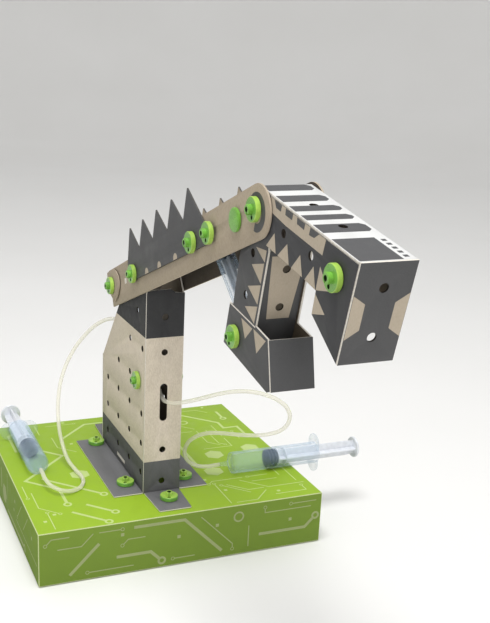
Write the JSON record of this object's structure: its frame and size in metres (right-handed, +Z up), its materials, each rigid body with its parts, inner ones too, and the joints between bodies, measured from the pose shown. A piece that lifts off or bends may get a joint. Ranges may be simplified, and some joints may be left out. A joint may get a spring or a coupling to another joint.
{
  "type": "card robot arm worked by air syringes",
  "caption": "Card robot arm with a gripping jaw on a carton base, worked by hand syringes through clear hoses.",
  "frame": {"origin": "middle of the carton underside", "axes": "+X forward towards the jaws, +Z up, +Y towards the far side of the arm"},
  "size_m": [0.5722, 0.3563, 0.383],
  "materials": {
    "kraft_card": "matte natural grey-brown board with fine fibres",
    "dark_card": "matte printed dark grey board with pale cut edges",
    "green_card": "satin printed green with pale circuit traces",
    "tray_card": "satin green",
    "green_plastic": "glossy bright green moulded",
    "clear_plastic": "clear pale blue moulded",
    "white_plastic": "white moulded",
    "black_rubber": "matte ribbed",
    "clear_hose": "clear slightly yellow flexible tube"
  },
  "bodies": {
    "root": {"carton_lid": "green_card", "carton_tray": "tray_card", "tower_near_panel": "kraft_card", "tower_far_panel": "kraft_card", "tower_front_panel": "kraft_card", "tower_back_panel": "kraft_card", "foot_flap_near": "dark_card", "foot_flap_far": "dark_card", "foot_flap_front": "dark_card", "foot_flap_back": "dark_card", "foot_rivet_near_front": "green_plastic", "foot_rivet_near_back": "green_plastic", "foot_rivet_far_front": "green_plastic", "foot_rivet_far_back": "green_plastic", "foot_rivet_front": "green_plastic", "lift_pin": "green_plastic", "right_hand_barrel": "clear_plastic", "left_hand_barrel": "clear_plastic", "right_hose": "clear_hose", "left_hose": "clear_hose"},
    "arm": {"arm_near_panel": "kraft_card", "arm_far_panel": "kraft_card", "spine_near_plate": "dark_card", "spine_far_plate": "dark_card", "arm_rear_web": "kraft_card", "arm_front_web": "kraft_card", "tail_wrap": "kraft_card", "tail_pin": "green_plastic", "jaw_cylinder_pin": "green_plastic", "pivot_rivet_near": "green_plastic", "pivot_rivet_far": "green_plastic", "spine_rivet_near": "green_plastic", "spine_rivet_far": "green_plastic", "flat_rivet_near": "green_plastic", "flat_rivet_far": "green_plastic", "head_pivot_rivet_near": "green_plastic", "head_pivot_rivet_far": "green_plastic", "head_near_panel": "dark_card", "head_far_panel": "dark_card", "head_top_panel": "dark_card", "head_front_panel": "dark_card", "head_side_rivet_near": "green_plastic", "head_side_rivet_far": "green_plastic", "arm_hose": "clear_hose"},
    "lower_jaw": {"jaw_near_panel": "dark_card", "jaw_far_panel": "dark_card", "jaw_leg_web": "dark_card", "jaw_bucket_floor": "dark_card", "jaw_bucket_front": "dark_card", "jaw_pin": "green_plastic"},
    "lift_barrel": {"lift_cylinder_barrel": "clear_plastic"},
    "lift_rod": {"lift_cylinder_rod": "white_plastic", "lift_cylinder_piston": "black_rubber"},
    "jaw_barrel": {"jaw_cylinder_barrel": "clear_plastic"},
    "jaw_rod": {"jaw_cylinder_rod": "white_plastic", "jaw_cylinder_piston": "black_rubber"},
    "right_plunger": {"right_hand_plunger": "white_plastic", "right_hand_piston": "black_rubber"},
    "left_plunger": {"left_hand_plunger": "white_plastic", "left_hand_piston": "black_rubber"}
  },
  "joints": [
    {"name": "arm_lift", "type": "hinge", "parent": "root", "child": "arm", "pos_m": [0.052, -0.009, 0.265], "axis": [0, -1, 0], "range_deg": [-36, 8]},
    {"name": "jaw_grip", "type": "hinge", "parent": "arm", "child": "lower_jaw", "pos_m": [0.30362, -0.009, 0.36564], "axis": [0, -1, 0], "range_deg": [-2, 34]},
    {"name": "lift_cylinder_swing", "type": "hinge", "parent": "root", "child": "lift_barrel", "pos_m": [0.057, -0.009, 0.1626], "axis": [0, -1, 0], "range_deg": [-12.5, 3.2]},
    {"name": "lift_rod_slide", "type": "slide", "parent": "lift_barrel", "child": "lift_rod", "axis": [-0.7075, 0, 0.7067], "range_m": [-0.00972, 0.04024]},
    {"name": "jaw_cylinder_swing", "type": "hinge", "parent": "arm", "child": "jaw_barrel", "pos_m": [0.19592, -0.009, 0.32256], "axis": [0, -1, 0], "range_deg": [-1.2, 13.9]},
    {"name": "jaw_rod_slide", "type": "slide", "parent": "jaw_barrel", "child": "jaw_rod", "axis": [0.8108, 0, -0.5853], "range_m": [-0.00415, 0.05455]},
    {"name": "right_plunger_slide", "type": "slide", "parent": "root", "child": "right_plunger", "axis": [0, 1, 0], "range_m": [-0.01955, 0.00512]},
    {"name": "left_plunger_slide", "type": "slide", "parent": "root", "child": "left_plunger", "axis": [-1, 0, 0], "range_m": [-0.02631, 0.00249]}
  ],
  "couplings": [
    {"joint": "lift_cylinder_swing", "follows": "arm_lift", "ratio": 0.33},
    {"joint": "lift_rod_slide", "follows": "arm_lift", "m_per_rad": -0.062452},
    {"joint": "right_plunger_slide", "follows": "arm_lift", "m_per_rad": 0.029519},
    {"joint": "jaw_cylinder_swing", "follows": "jaw_grip", "ratio": 0.392},
    {"joint": "jaw_rod_slide", "follows": "jaw_grip", "m_per_rad": 0.090241},
    {"joint": "left_plunger_slide", "follows": "jaw_grip", "m_per_rad": -0.042653}
  ]
}
